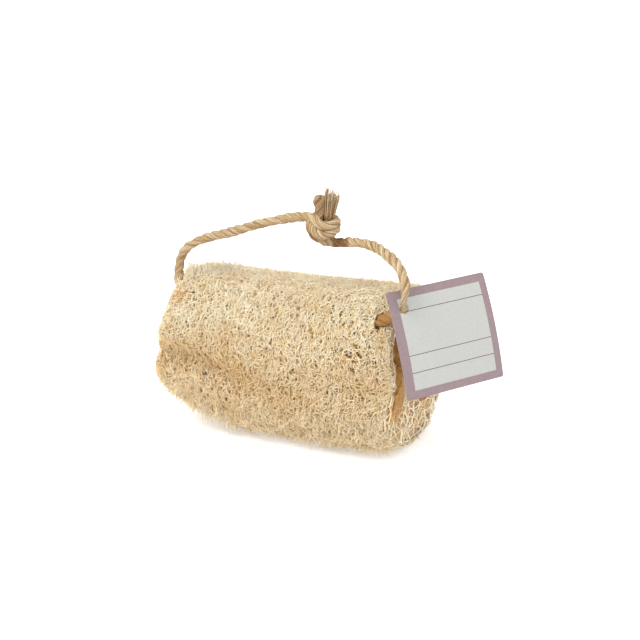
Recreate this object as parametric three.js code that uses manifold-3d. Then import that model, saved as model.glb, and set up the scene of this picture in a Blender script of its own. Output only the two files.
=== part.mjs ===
// Natural loofah sponge lying on its side, with a knotted jute loop and a square card tag.
// Millimetres, +Z up. The sponge runs along X, its open end at +X, and -Y is its front.
import * as THREE from 'three';
import { mergeVertices } from 'three/addons/utils/BufferGeometryUtils.js';
import Module from 'manifold-3d';

// Sponge: overall form
const HALF_LENGTH = 74.3;
const TOP_LEFT = 90;
const TOP_RIGHT = 87;
const TOP_SAG = 1;
const HALF_DEPTH_LEFT = 34.5;
const HALF_DEPTH_RIGHT = 39;
const WAIST = 1;
const LIFT_LEFT = 20;
const LIFT_LEFT_SHARE = 0.45;
const LIFT_RIGHT = 2.5;
const LIFT_RIGHT_SHARE = 0.15;
const PRESSED_FLAT = 2.5;
const SQUARENESS = 2.75;

// Sponge: long crease low on the front, deepest at the left end
const CREASE_DEPTH = 7;
const CREASE_HEIGHT_LEFT = 47;
const CREASE_DROP = 21;
const CREASE_WIDTH = 8;

// Sponge: slanted and bulging cut ends
const LEFT_SLANT = 11;
const LEFT_TUCK = 2;
const RIGHT_SET_BACK = 5.5;
const RIGHT_SKEW = 0.17;
const FRONT_WALL_BULGE = 3.3;
const FRONT_WALL_NOTCH = 3.2;
const FRONT_WALL_SET_BACK = 1.3;
const RIM_ROUNDING = 0.05;
const RIM_REACH = 0.03;

// Sponge: raised net, cells on every third lattice point
const COLUMNS = 84;
const ROWS = 54;
const CELL_DEPTH = 1.9;
const STRAND_LIFT = 0.4;
const JITTER = 0.2;
const RIM_FRAY = 0.8;
const CUT_FACE_RINGS = [0.74, 0.42];
const NET_FADE_HEIGHT = 3.5;

// Sponge: seed chambers, as the ends of their middle lines and half sizes; the front one steps back
// behind the crease
const CHAMBERS = [
  { from: [-87, -18, 64], to: [6, -18, 64], halfDepth: 4.8, halfHeight: 16 },
  { from: [-6, -25, 50], to: [87, -25, 50], halfDepth: 6.3, halfHeight: 23 },
  { from: [-87, 12, 66], to: [87, 14, 64], halfDepth: 13, halfHeight: 7 },
  { from: [-87, 12, 33], to: [87, 14, 29], halfDepth: 13, halfHeight: 7 },
];
const CHAMBER_SIDES = 18;

// Cord and its passage through the sponge
const CORD_DIAMETER = 5.2;
const CORD_SIDES = 10;
const CORD_STEPS = 72;
const PASSAGE_GAP = 0.8;

// Route of the cord, from the left of the knot, through the sponge and the tag, to the right of the knot
const CORD_ROUTE = [
  [8.3, -13, 124.3],
  [1.6, -13, 123.4],
  [-7.5, -13, 121.2],
  [-16.7, -13, 118.8],
  [-26.1, -13, 115.7],
  [-35.6, -13, 112.6],
  [-45.3, -13, 110],
  [-54, -13, 106.6],
  [-60.5, -13, 102.5],
  [-64.2, -13, 97],
  [-64.7, -15, 90],
  [-63.2, -17.6, 83.5],
  [-60, -18.4, 77.4],
  [-53.4, -18.2, 72.6],
  [-44, -18, 70.4],
  [-20, -19.5, 69.2],
  [10, -22.2, 69],
  [34, -23.6, 68.7],
  [48, -25.2, 70.6],
  [57.8, -29.2, 78],
  [64.6, -32.6, 81.8],
  [69.4, -36.2, 86.9],
  [70.1, -39, 91.2],
  [70.5, -39, 94.9],
  [70.7, -38.4, 97.6],
  [69.4, -36.8, 101.6],
  [66.9, -34.5, 105.7],
  [63.3, -31.8, 108.7],
  [58.2, -28.2, 111.2],
  [53.1, -24.6, 112.9],
  [47.8, -21, 113.7],
  [42.5, -17.5, 113.6],
  [37.2, -14, 113],
  [32.5, -11.2, 112.2],
  [29.8, -9.8, 111.6],
];

// Knot: two strands of the cord, as points to the right, back and up from the knot's middle
const KNOT_PLACE = [19, -12, 118.8];
const KNOT_TURN = 20;
const KNOT_STRAND_SIDES = 7;
const LEFT_STRAND = [
  [-9.4, 2.3, 5.6],
  [-5.6, -0.6, 5.4],
  [-1.6, -4.2, 2.8],
  [2.2, -5, 1.9],
  [5.6, -3, 3],
  [6.7, 1, 4],
  [4, 4.3, 2.5],
  [-1.6, 3.8, 1.6],
  [-3, 1, -0.8],
  [0, -0.8, -0.8],
  [2.8, -0.5, 3],
  [3.5, -0.4, 8.6],
  [4, -0.2, 13],
];
const RIGHT_STRAND = [
  [9.9, -0.6, -7.5],
  [6, 0.6, -7.6],
  [-0.5, -0.6, -5.8],
  [-5.4, -1.6, -2.2],
  [-6.4, -0.8, 2],
  [-4.4, 1.6, 5.6],
  [0, 3.8, 5.8],
  [4.6, 4.2, 4],
  [6.8, 1, 0.8],
  [5, -3.4, -1.4],
  [0, -4.7, -2.8],
  [-4, -3.2, -0.8],
  [-2.8, -0.4, 3.4],
  [-1.4, -0.3, 8],
  [-1.6, -0.4, 12.6],
  [-2.2, -0.4, 17.2],
];
const TAIL_FIBRES = 7;
const TAIL_FIBRE_LENGTH = 8;
const TAIL_FIBRE_RADIUS = 0.75;
const TAIL_SPREAD = 0.32;

// Tag
const TAG_SIDE = 53.8;
const TAG_THICKNESS = 0.7;
const TAG_CORNER = 1.2;
const TAG_HOLE_RADIUS = 3.9;
const TAG_HOLE_PLACE = [-19.6, 17.8];
const TAG_PLACE = [89.1, -26.3, 72.3];
const TAG_TURN = 40.5;
const TAG_RISE = 6.5;
const TAG_LEAN = 17.1;

const wasm = await Module();
wasm.setup();

// Repeatable draws between 0 and 1
function seededDraw(seed) {
  let state = seed;
  return () => {
    state = (state * 1664525 + 1013904223) % 4294967296;
    return state / 4294967296;
  };
}

const degrees = THREE.MathUtils.degToRad;
const smoothStep = THREE.MathUtils.smoothstep;
const lerp = THREE.MathUtils.lerp;

function bell(value, middle, width) {
  return Math.exp(-(((value - middle) / width) ** 2));
}

function toSolid(geometry) {
  const bare = geometry.clone();
  bare.deleteAttribute('normal');
  bare.deleteAttribute('uv');
  const merged = mergeVertices(bare, 1e-4);
  return new wasm.Manifold(new wasm.Mesh({
    numProp: 3,
    vertProperties: new Float32Array(merged.getAttribute('position').array),
    triVerts: new Uint32Array(merged.getIndex().array),
  }));
}

function toGeometry(solid) {
  const mesh = solid.getMesh();
  const geometry = new THREE.BufferGeometry();
  geometry.setAttribute('position', new THREE.BufferAttribute(mesh.vertProperties, 3));
  geometry.setIndex(new THREE.BufferAttribute(mesh.triVerts, 1));
  geometry.computeVertexNormals();
  return geometry;
}

function largestBody(solid) {
  return solid.decompose().sort((a, b) => b.volume() - a.volume())[0];
}

function vector(point) {
  return new THREE.Vector3(...point);
}

// Closed tube of round section along a smooth curve
function tube(points, radius, sides, steps) {
  const corners = Array.from({ length: sides }, (_, i) => (2 * Math.PI * i) / sides);
  const section = new THREE.Shape(
    corners.map((angle) => new THREE.Vector2(radius * Math.cos(angle), radius * Math.sin(angle))));
  const curve = new THREE.CatmullRomCurve3(points.map(vector));
  return new THREE.ExtrudeGeometry(section, { steps, extrudePath: curve });
}

// Smooth form of the sponge: share runs from 0 at the left end to 1 at the right,
// angle from 0 at the front through the top and the back
function spongeForm(share, angle) {
  const cosine = Math.cos(angle);
  const sine = Math.sin(angle);
  const frontness = Math.max(cosine, 0);
  const power = SQUARENESS + 0.3 * sine + 0.125 * cosine * (1 - sine);
  const reach = (Math.abs(cosine) ** power + Math.abs(sine) ** power) ** (-1 / power);
  const leftLift = LIFT_LEFT * Math.max(1 - share / LIFT_LEFT_SHARE, 0) ** 2;
  const rightLift = LIFT_RIGHT * Math.max(1 - (1 - share) / LIFT_RIGHT_SHARE, 0) ** 2;
  const top = lerp(TOP_LEFT, TOP_RIGHT, share) - TOP_SAG * Math.sin(Math.PI * share);
  const bottom = leftLift + rightLift - PRESSED_FLAT;
  const halfDepth = lerp(HALF_DEPTH_LEFT, HALF_DEPTH_RIGHT, share) - WAIST * bell(share, 0.3, 0.2);
  const rims = Math.exp(-share / RIM_REACH) + Math.exp(-(1 - share) / RIM_REACH);
  const rounded = reach * (1 - RIM_ROUNDING * rims);
  const round = (top + bottom) / 2 + ((top - bottom) / 2) * rounded * sine;
  const creaseHeight = CREASE_HEIGHT_LEFT - CREASE_DROP * smoothStep(share, 0, 0.75);
  const creaseDepth = CREASE_DEPTH * (1 - smoothStep(share, 0.15, 0.65)) * frontness;
  const y = -halfDepth * rounded * cosine + creaseDepth * bell(round, creaseHeight, CREASE_WIDTH);
  const z = Math.max(round, 0);
  const slant = LEFT_SLANT * smoothStep(z, 40, 85) + LEFT_TUCK * (1 - smoothStep(z, 0, 25));
  const wallBulge = FRONT_WALL_BULGE * bell(z, 48, 14) - FRONT_WALL_NOTCH * bell(z, 22, 9);
  const left = -HALF_LENGTH + slant;
  const right = HALF_LENGTH - RIGHT_SET_BACK + RIGHT_SKEW * y + (wallBulge - FRONT_WALL_SET_BACK) * frontness;
  return new THREE.Vector3(lerp(left, right, share), y, z);
}

// Angles that space points evenly round the middle section
function evenAngles(count) {
  const samples = 720;
  const lengths = [0];
  for (let i = 1; i <= samples; i += 1) {
    const before = spongeForm(0.5, (2 * Math.PI * (i - 1)) / samples);
    const after = spongeForm(0.5, (2 * Math.PI * i) / samples);
    lengths.push(lengths[i - 1] + before.distanceTo(after));
  }
  return (turn) => {
    const wanted = (((turn / count) % 1) + 1) % 1 * lengths[samples];
    const next = lengths.findIndex((length) => length > wanted);
    const part = (wanted - lengths[next - 1]) / (lengths[next] - lengths[next - 1]);
    return (2 * Math.PI * (next - 1 + part)) / samples;
  };
}

function outwardNormal(share, angle) {
  const step = 0.004;
  const here = Math.min(Math.max(share, step), 1 - step);
  const along = spongeForm(here + step, angle).sub(spongeForm(here - step, angle));
  const around = spongeForm(here, angle + step).sub(spongeForm(here, angle - step));
  return along.cross(around).normalize();
}

// Sponge skin: a drawn-about triangular lattice whose every third point is sunk, so that the
// points left between form a raised net of six-sided cells
function spongeSkin() {
  const draw = seededDraw(11);
  const angleAt = evenAngles(COLUMNS);
  const positions = [];
  const triangles = [];
  const index = (row, column) => row * COLUMNS + ((column + COLUMNS) % COLUMNS);
  for (let row = 0; row <= ROWS; row += 1) {
    const atRim = row === 0 || row === ROWS;
    for (let column = 0; column < COLUMNS; column += 1) {
      const along = row + (atRim ? 0 : JITTER * (2 * draw() - 1));
      const turn = column + 0.5 * (row % 2) + JITTER * (2 * draw() - 1);
      const share = along / ROWS;
      const angle = angleAt(turn);
      const inCell = (column - Math.floor(row / 2) - row + 3 * ROWS) % 3 === 0;
      const relief = inCell ? -CELL_DEPTH * (0.6 + 0.8 * draw()) : STRAND_LIFT * (2 * draw() - 1);
      const point = spongeForm(share, angle);
      const fade = smoothStep(point.z, 0.2, NET_FADE_HEIGHT);
      point.addScaledVector(outwardNormal(share, angle), relief * fade);
      point.x += atRim ? RIM_FRAY * (2 * draw() - 1) : 0;
      point.z = Math.max(point.z, 0);
      positions.push(...point);
    }
  }
  for (let row = 0; row < ROWS; row += 1) {
    const shift = row % 2;
    for (let column = 0; column < COLUMNS; column += 1) {
      const here = index(row, column);
      const above = index(row + 1, column + shift);
      triangles.push(here, above, index(row, column + 1));
      triangles.push(above, here, index(row + 1, column + shift - 1));
    }
  }
  addCutFace(positions, triangles, index(0, 0), draw, false);
  addCutFace(positions, triangles, index(ROWS, 0), draw, true);
  const geometry = new THREE.BufferGeometry();
  geometry.setAttribute('position', new THREE.Float32BufferAttribute(positions, 3));
  geometry.setIndex(triangles);
  geometry.computeBoundingBox();
  const middle = geometry.boundingBox.getCenter(new THREE.Vector3());
  return geometry.translate(-middle.x, -middle.y, 0);
}

// Rough cut face: rings of points drawn in from the rim to its middle
function addCutFace(positions, triangles, firstOfRim, draw, facesRight) {
  const rim = [];
  for (let column = 0; column < COLUMNS; column += 1) {
    rim.push(new THREE.Vector3().fromArray(positions, 3 * (firstOfRim + column)));
  }
  const middle = rim.reduce((sum, point) => sum.add(point), new THREE.Vector3()).divideScalar(COLUMNS);
  const addTriangle = (a, b, c) => triangles.push(...(facesRight ? [a, c, b] : [a, b, c]));
  let outer = firstOfRim;
  for (const share of CUT_FACE_RINGS) {
    const inner = positions.length / 3;
    for (const point of rim) {
      const ringPoint = middle.clone().lerp(point, share);
      ringPoint.x += share * RIM_FRAY * (2 * draw() - 1);
      positions.push(...ringPoint);
    }
    for (let column = 0; column < COLUMNS; column += 1) {
      const next = (column + 1) % COLUMNS;
      addTriangle(outer + column, outer + next, inner + column);
      addTriangle(inner + column, outer + next, inner + next);
    }
    outer = inner;
  }
  const centre = positions.length / 3;
  positions.push(...middle);
  for (let column = 0; column < COLUMNS; column += 1) {
    addTriangle(outer + column, outer + ((column + 1) % COLUMNS), centre);
  }
}

// Flattened seed chamber, run out past the cut ends that it opens at
function seedChamber({ from, to, halfDepth, halfHeight }) {
  const way = vector(to).sub(vector(from));
  const geometry = new THREE.CylinderGeometry(1, 1, way.length(), CHAMBER_SIDES);
  geometry.rotateZ(-Math.PI / 2);
  geometry.scale(1, halfDepth, halfHeight);
  geometry.rotateY(-Math.atan2(way.z, way.x));
  geometry.rotateZ(Math.atan2(way.y, way.x));
  return geometry.translate(...vector(from).add(vector(to)).multiplyScalar(0.5));
}

function spongeGeometry() {
  let sponge = toSolid(spongeSkin());
  for (const chamber of CHAMBERS) {
    sponge = sponge.subtract(toSolid(seedChamber(chamber)));
  }
  const passageRadius = CORD_DIAMETER / 2 + PASSAGE_GAP;
  sponge = sponge.subtract(toSolid(tube(CORD_ROUTE, passageRadius, CORD_SIDES, CORD_STEPS)));
  return toGeometry(largestBody(sponge));
}

function cordGeometry() {
  return tube(CORD_ROUTE, CORD_DIAMETER / 2, CORD_SIDES, CORD_STEPS);
}

// One knotted strand, as overlapping short tubes so that it may cross itself
function strandPieces(points) {
  const pieces = [];
  const pointsInPiece = 5;
  for (let first = 0; first + 2 < points.length; first += pointsInPiece - 2) {
    const stretch = points.slice(first, first + pointsInPiece);
    pieces.push(tube(stretch, CORD_DIAMETER / 2, KNOT_STRAND_SIDES, Math.round(1.6 * (stretch.length - 1))));
  }
  return pieces;
}

// Frayed brush of fibres at the end of one tail
function tailFibres(end) {
  const draw = seededDraw(5);
  const fibres = [];
  for (let i = 0; i < TAIL_FIBRES; i += 1) {
    const fibre = new THREE.CylinderGeometry(
      TAIL_FIBRE_RADIUS / 2, TAIL_FIBRE_RADIUS, TAIL_FIBRE_LENGTH * (0.8 + 0.4 * draw()), 5);
    fibre.rotateX(Math.PI / 2);
    fibre.translate(0, 0, TAIL_FIBRE_LENGTH / 2 - 2);
    const turn = (2 * Math.PI * i) / TAIL_FIBRES;
    const lean = i % 3 === 0 ? 0.3 * TAIL_SPREAD : TAIL_SPREAD * (0.6 + 0.4 * draw());
    const offset = (CORD_DIAMETER / 2) * (i % 3 === 0 ? 0.3 : 0.7);
    fibre.rotateY(lean);
    fibre.translate(offset, 0, 0);
    fibre.rotateZ(turn);
    fibre.translate(...end);
    fibres.push(fibre);
  }
  return fibres;
}

function knotGeometry() {
  const pieces = [...strandPieces(LEFT_STRAND), ...strandPieces(RIGHT_STRAND)];
  pieces.push(...tailFibres(LEFT_STRAND.at(-1)));
  const solids = pieces.map(toSolid);
  const knot = solids.slice(1).reduce((sum, solid) => sum.add(solid), solids[0]);
  return toGeometry(largestBody(knot));
}

function tagGeometry() {
  const half = TAG_SIDE / 2;
  const flat = half - TAG_CORNER;
  const outline = new THREE.Shape();
  outline.absarc(flat, flat, TAG_CORNER, 0, Math.PI / 2);
  outline.absarc(-flat, flat, TAG_CORNER, Math.PI / 2, Math.PI);
  outline.absarc(-flat, -flat, TAG_CORNER, Math.PI, 1.5 * Math.PI);
  outline.absarc(flat, -flat, TAG_CORNER, 1.5 * Math.PI, 2 * Math.PI);
  const hole = new THREE.Path();
  hole.absarc(...TAG_HOLE_PLACE, TAG_HOLE_RADIUS, 0, 2 * Math.PI);
  outline.holes.push(hole);
  const card = new THREE.ExtrudeGeometry(outline, {
    depth: TAG_THICKNESS,
    bevelEnabled: false,
    curveSegments: 6,
  });
  return card.translate(0, 0, -TAG_THICKNESS / 2);
}

function part(name, geometry, color, roughness) {
  const material = new THREE.MeshStandardMaterial({ color, roughness, metalness: 0 });
  const mesh = new THREE.Mesh(geometry, material);
  mesh.name = name;
  return mesh;
}

const object = new THREE.Group();

const loofah = part('loofah', spongeGeometry(), 0xe2cda0, 0.9);
object.add(loofah);

const cord = part('cord', cordGeometry(), 0xc9a873, 0.9);
object.add(cord);

const knot = part('cord_knot', knotGeometry(), 0xbf9c68, 0.9);
knot.position.set(...KNOT_PLACE);
knot.rotation.z = degrees(KNOT_TURN);
object.add(knot);

const tag = part('hang_tag', tagGeometry(), 0xb09a9c, 0.7);
tag.position.set(...TAG_PLACE);
tag.rotation.set(degrees(90 - TAG_LEAN), degrees(-TAG_RISE), degrees(TAG_TURN), 'ZYX');
object.add(tag);

export default object;
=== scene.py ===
"""Looks of a natural loofah sponge with a knotted jute loop and a blank card tag.

Lengths are in millimetres until a mesh is made. The sponge runs along X, -Y is its front, +Z is up.
"""

import math

import bmesh
import bpy
import numpy as np
from mathutils import Matrix, Vector
from mathutils.geometry import delaunay_2d_cdt
from mathutils.kdtree import KDTree


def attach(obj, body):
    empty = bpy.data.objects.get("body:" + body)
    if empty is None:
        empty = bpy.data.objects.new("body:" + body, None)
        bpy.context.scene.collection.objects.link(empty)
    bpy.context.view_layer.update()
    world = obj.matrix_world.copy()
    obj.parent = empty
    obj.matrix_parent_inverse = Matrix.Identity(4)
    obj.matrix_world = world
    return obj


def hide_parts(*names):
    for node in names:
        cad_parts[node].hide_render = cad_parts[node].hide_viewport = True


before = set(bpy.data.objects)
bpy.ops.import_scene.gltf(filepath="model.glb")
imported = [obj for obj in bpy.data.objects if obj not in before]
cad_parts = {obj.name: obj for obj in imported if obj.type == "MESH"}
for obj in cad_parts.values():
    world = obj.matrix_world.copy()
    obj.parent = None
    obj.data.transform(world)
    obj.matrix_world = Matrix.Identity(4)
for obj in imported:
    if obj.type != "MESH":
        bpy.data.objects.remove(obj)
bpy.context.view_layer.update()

MM = 0.001

# Camera, fitted to the photograph's 640 pixel square frame
CAMERA_AZIMUTH = 20.0
CAMERA_ELEVATION = 17.0
CAMERA_TARGET = (13.0, 0.0, 64.9)
CAMERA_DISTANCE = 495.0
FOCAL_PIXELS = 900.0
IMAGE_PIXELS = 640
SENSOR_WIDTH = 36.0

# Sponge form, as in the solid
HALF_LENGTH = 74.3
TOP_LEFT = 90.0
TOP_RIGHT = 87.0
TOP_SAG = 1.0
HALF_DEPTH_LEFT = 34.5
HALF_DEPTH_RIGHT = 39.0
WAIST = 1.0
LIFT_LEFT = 20.0
LIFT_LEFT_SHARE = 0.45
LIFT_RIGHT = 2.5
LIFT_RIGHT_SHARE = 0.15
PRESSED_FLAT = 2.5
SQUARENESS = 2.75
CREASE_DEPTH = 7.0
CREASE_HEIGHT_LEFT = 47.0
CREASE_DROP = 21.0
CREASE_WIDTH = 8.0
LEFT_SLANT = 11.0
LEFT_TUCK = 2.0
RIGHT_SET_BACK = 5.5
RIGHT_SKEW = 0.17
FRONT_WALL_BULGE = 3.3
FRONT_WALL_NOTCH = 3.2
FRONT_WALL_SET_BACK = 1.3
RIM_ROUNDING = 0.05
RIM_REACH = 0.03
CHAMBERS = (
    {"from": (-87.0, -18.0, 64.0), "to": (6.0, -18.0, 64.0), "half": (4.8, 16.0)},
    {"from": (-6.0, -25.0, 50.0), "to": (87.0, -25.0, 50.0), "half": (6.3, 23.0)},
    {"from": (-87.0, 12.0, 66.0), "to": (87.0, 14.0, 64.0), "half": (13.0, 7.0)},
    {"from": (-87.0, 12.0, 33.0), "to": (87.0, 14.0, 29.0), "half": (13.0, 7.0)},
)

# Cord, its route as in the solid, and the knot's two strands
CORD_DIAMETER = 5.2
CORD_LAY = 17.5
STREAK_RINGS = 9
CORD_ROUTE = (
    (8.3, -13, 124.3), (1.6, -13, 123.4), (-7.5, -13, 121.2),
    (-16.7, -13, 118.8), (-26.1, -13, 115.7), (-35.6, -13, 112.6),
    (-45.3, -13, 110), (-54, -13, 106.6), (-60.5, -13, 102.5),
    (-64.2, -13, 97), (-64.7, -15, 90), (-63.2, -17.6, 83.5),
    (-60, -18.4, 77.4), (-53.4, -18.2, 72.6), (-44, -18, 70.4),
    (-20, -19.5, 69.2), (10, -22.2, 69), (34, -23.6, 68.7),
    (48, -25.2, 70.6), (57.8, -29.2, 78), (64.6, -32.6, 81.8),
    (69.4, -36.2, 86.9), (70.1, -39, 91.2), (70.5, -39, 94.9),
    (70.7, -38.4, 97.6), (69.4, -36.8, 101.6), (66.9, -34.5, 105.7),
    (63.3, -31.8, 108.7), (58.2, -28.2, 111.2), (53.1, -24.6, 112.9),
    (47.8, -21, 113.7), (42.5, -17.5, 113.6), (37.2, -14, 113),
    (32.5, -11.2, 112.2), (29.8, -9.8, 111.6),
)
LEFT_MOUTH_POINT = 11
FRONT_WALL_POINT = 19
TAG_HOLE_POINT = 21
KNOT_PLACE = (19.0, -12.0, 118.8)
KNOT_TURN = 20.0
LEFT_STRAND = (
    (-9.4, 2.3, 5.6), (-5.6, -0.6, 5.4), (-1.6, -4.2, 2.8),
    (2.2, -5, 1.9), (5.6, -3, 3), (6.7, 1, 4),
    (4, 4.3, 2.5), (-1.6, 3.8, 1.6), (-3, 1, -0.8),
    (0, -0.8, -0.8), (2.8, -0.5, 3), (3.5, -0.4, 8.6),
    (4, -0.2, 13),
)
RIGHT_STRAND = (
    (9.9, -0.6, -7.5), (6, 0.6, -7.6), (-0.5, -0.6, -5.8),
    (-5.4, -1.6, -2.2), (-6.4, -0.8, 2), (-4.4, 1.6, 5.6),
    (0, 3.8, 5.8), (4.6, 4.2, 4), (6.8, 1, 0.8),
    (5, -3.4, -1.4), (0, -4.7, -2.8), (-4, -3.2, -0.8),
    (-2.8, -0.4, 3.4), (-1.4, -0.3, 8), (-1.6, -0.4, 12.6),
    (-2.2, -0.4, 17.2),
)

# Tag, placed as in the solid
TAG_SIDE = 53.8
TAG_THICKNESS = 0.7
TAG_CORNER = 1.2
TAG_HOLE_RADIUS = 2.4
TAG_HOLE_PLACE = (-19.6, 17.8)
TAG_PLACE = (89.1, -26.3, 72.3)
TAG_TURN = 40.5
TAG_RISE = 6.5
TAG_LEAN = 17.1
TAG_PANEL_ACROSS = (-22.0, 23.2)
TAG_PANEL_UP = (-22.7, 22.7)
TAG_RULES = (16.1, -5.5, -14.1)
TAG_RULE_WIDTH = 0.4
TAG_BOW = 2.3
TAG_STRIPS = 14

# Fibres of the sponge
BED_SINK = 1.4
UNDERSIDE = 0.6
CHAMBER_WALL_REACH = 1.12
END_ZONE = 4.5
END_SPREAD = 0.7
CUT_FACE_TAN = 0.7
CUT_FACE_SHARE = 0.93
# Painted shade: how tan the strands turn in the crease, low down and round the cord's mouth at the left end
CREASE_SHADE_SHARE = 0.4
LOW_SHADE_SHARE = 0.28
MOUTH_SHADE_SHARE = 0.85
TAN_CAVITY = 0.9
TAN_MOST = 0.95
HAIR_PALER = 0.25
TUFT_PALER = 0.9
CUT_END_PALER = 0.3
PITS = 420
PITS_IN_CLUSTER = 22
PIT_RADIUS = (0.3, 0.52)
PIT_DEPTHS = (-2.2, -0.9)
PIT_MARGIN = 0.15
PIT_THINNING = 0.55
CLUSTER_SHARE = (0.862, 0.026)
CLUSTER_TURN = (0.064, 0.014)
CLUSTER_RADIUS = (0.36, 0.68)
LAYERS = (
    dict(name="deep", seed=3, count=5400, points=4, length=(4.5, 8), spread=0.8,
         wave=(0.2, 0.6), depth=(-1.5, -0.8), dive=0.4, radius=(0.3, 0.44)),
    dict(name="under", seed=4, count=7000, points=5, length=(4, 8), spread=0.8,
         wave=(0.3, 0.7), depth=(-0.9, -0.3), dive=0.5, radius=(0.19, 0.29)),
    dict(name="middle", seed=5, count=7200, points=5, length=(3.8, 7.5), spread=0.6,
         wave=(0.3, 0.7), depth=(-0.5, 0.0), dive=0.7, radius=(0.16, 0.25)),
    dict(name="outer", seed=6, count=7000, points=5, length=(3.5, 7.5), spread=0.6,
         wave=(0.3, 0.7), depth=(-0.2, 0.35), dive=0.9, radius=(0.14, 0.22)),
)
LINED_UP_SHARE = 0.7
WAVE_LENGTH = (5, 10)
LOWEST_FIBRE = 0.45
LOWEST_HAIR = 0.3
LOWEST_FRINGE = 0.4
CORD_GAP = 0.5
CARD_GAP = 1.5
WEBS = (("_web", 4.2, 0.32, 0.62), ("_fine_web", 2.4, 0.12, 0.24))
WEB_PROFILE = (1.25, 0.9, 0.8, 0.9, 1.25)
WEB_AREA = ((-38, 2), (38, 89))
WEB_TRIES = 4000
WEB_LONGEST = 2.2
WEB_KEPT = 0.8
WEB_LEVELS = (-0.6, 1.2)
WEB_SAG = 0.55
WEB_RIM_SHARE = 0.97
WEB_CHAMBER_REACH = 1.06
TORN_REACH = 0.9
RIM_FIBRES = 1500
MOUTH_TURN = 0.2
# Middle of the painted shade round the cord's mouth at the left end
MOUTH_SHADE_MIDDLE = (-58.5, -27.0, 79.0)
MOUTH_GAP = 0.9
CAVITY = (-24.0, 35.0)
CAVITY_HALF = (8.0, 11.0)

# Loose fibres: length, curl, points along each, radius, and the share of it that is left at the tip
CORD_FUZZ = dict(length=(1.2, 4), curl=0.4, points=4, radius=(0.05, 0.1), tip=0.6)
BRUSH = dict(length=(10, 16), curl=0.06, points=6, radius=(0.24, 0.44), tip=0.5)
HAIRS = dict(length=(1.4, 4.4), curl=0.5, points=4, radius=(0.09, 0.19), tip=0.6)
WISPS = dict(length=(3, 9), curl=0.7, points=6, radius=(0.08, 0.14), tip=0.5)
RAGGED = dict(length=(1.8, 5.5), curl=0.5, points=4, radius=(0.12, 0.24), tip=0.6)
TUFT = dict(length=(2, 6), curl=0.5, points=4, radius=(0.12, 0.22), tip=0.55)
FRINGE = dict(length=(1, 3), curl=0.45, points=4, radius=(0.12, 0.26), tip=0.6)
FUZZ_ON_KNOT = 160
FUZZ_ON_LEFT = 380
FUZZ_ON_RIGHT = 320
FUZZ_STREAK = 0.6
BARE_RINGS = 12
BRUSH_YARNS = 110
BRUSH_ROOT = 9.0
HAIR_COUNT = 3800
HAIRS_ALL_OVER = 0.65
WISPS_ALL_OVER = 310
WISPS_AT_LEFT = 150
RAGGED_TUFTS = 250
RAGGED_IN_TUFT = 6
TUFT_FIBRES = 320
UP = np.array((0, 0, 1.0))
ASLANT = np.array((0.3, 0.2, 0.9))

# Light and floor, in millimetres for the floor and metres for the light
FLOOR_RADII = (400, 900, 1400)
FLOOR_SIDES = 64
FLOOR_GLOW = 0.3
COVE_RADIUS = 600
COVE_START = 0.15
COVE_STEPS = 10
WALL_TOP = 2200
WORLD_STRENGTH = 0.89
KEY_SIZE = 0.7
KEY_ENERGY = 8.5
KEY_PLACE = (-0.4, -0.45, 0.95)
KEY_TARGET = (0, 0, 0.05)


def smooth_step(value, low, high):
    share = np.clip((value - low) / (high - low), 0, 1)
    return share * share * (3 - 2 * share)


def bell(value, middle, width):
    return np.exp(-(((value - middle) / width) ** 2))


def mix(low, high, share):
    return low + (high - low) * share


def unit(vectors):
    return vectors / np.maximum(np.linalg.norm(vectors, axis=-1, keepdims=True), 1e-9)


# Camera

def place_camera():
    azimuth = math.radians(CAMERA_AZIMUTH)
    elevation = math.radians(CAMERA_ELEVATION)
    back = Vector((math.sin(azimuth) * math.cos(elevation),
                   -math.cos(azimuth) * math.cos(elevation),
                   math.sin(elevation)))
    data = bpy.data.cameras.new("camera")
    data.sensor_width = SENSOR_WIDTH
    data.lens = SENSOR_WIDTH * FOCAL_PIXELS / IMAGE_PIXELS
    data.clip_start = 0.01
    camera = bpy.data.objects.new("camera", data)
    camera.location = MM * (Vector(CAMERA_TARGET) + CAMERA_DISTANCE * back)
    camera.rotation_euler = back.to_track_quat("Z", "Y").to_euler()
    bpy.context.scene.collection.objects.link(camera)
    bpy.context.scene.camera = camera


place_camera()


# Sponge surface

def end_left(z):
    slant = LEFT_SLANT * smooth_step(z, 40, 85)
    return -HALF_LENGTH + slant + LEFT_TUCK * (1 - smooth_step(z, 0, 25))


def end_right(y, z, frontness):
    bulge = FRONT_WALL_BULGE * bell(z, 48, 14) - FRONT_WALL_NOTCH * bell(z, 22, 9) - FRONT_WALL_SET_BACK
    return HALF_LENGTH - RIGHT_SET_BACK + RIGHT_SKEW * y + bulge * frontness


def end_places(y, z):
    """X of the left and right cut faces."""
    return end_left(z), end_right(y, z, np.clip(-y / HALF_DEPTH_RIGHT, 0, 1))


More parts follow.
